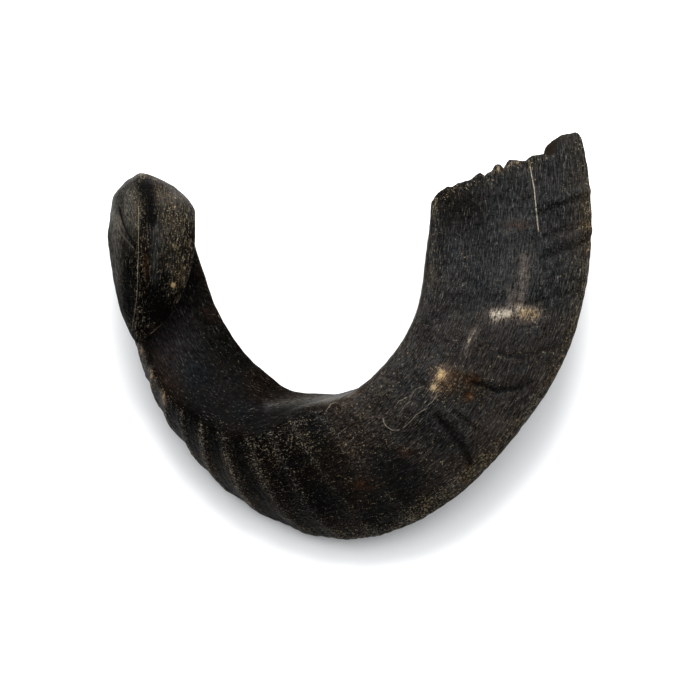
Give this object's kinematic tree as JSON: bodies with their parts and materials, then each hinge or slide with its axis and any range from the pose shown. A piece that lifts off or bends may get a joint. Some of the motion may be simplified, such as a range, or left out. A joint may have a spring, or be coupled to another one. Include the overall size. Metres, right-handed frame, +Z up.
{
  "type": "sheep horn",
  "caption": "Dark, ridged ram's horn lying on its side: a hollow, broken base, a wide bend, and a tip that curls back over its own arm.",
  "frame": {"origin": "on the surface that the horn lies on, under the middle of its bounding box", "axes": "+Z up from the surface it lies on; the broken base opens towards +Y at the +X side, the curled tip is at the -X side, and the bend is towards -Y"},
  "size_m": [0.1866, 0.1596, 0.0597],
  "materials": {
    "horn_keratin": "near-black horn keratin with a satin sheen, lengthwise fibres, growth rings and tan worn spots"
  },
  "bodies": {
    "root": {"horn": "horn_keratin"}
  },
  "joints": []
}
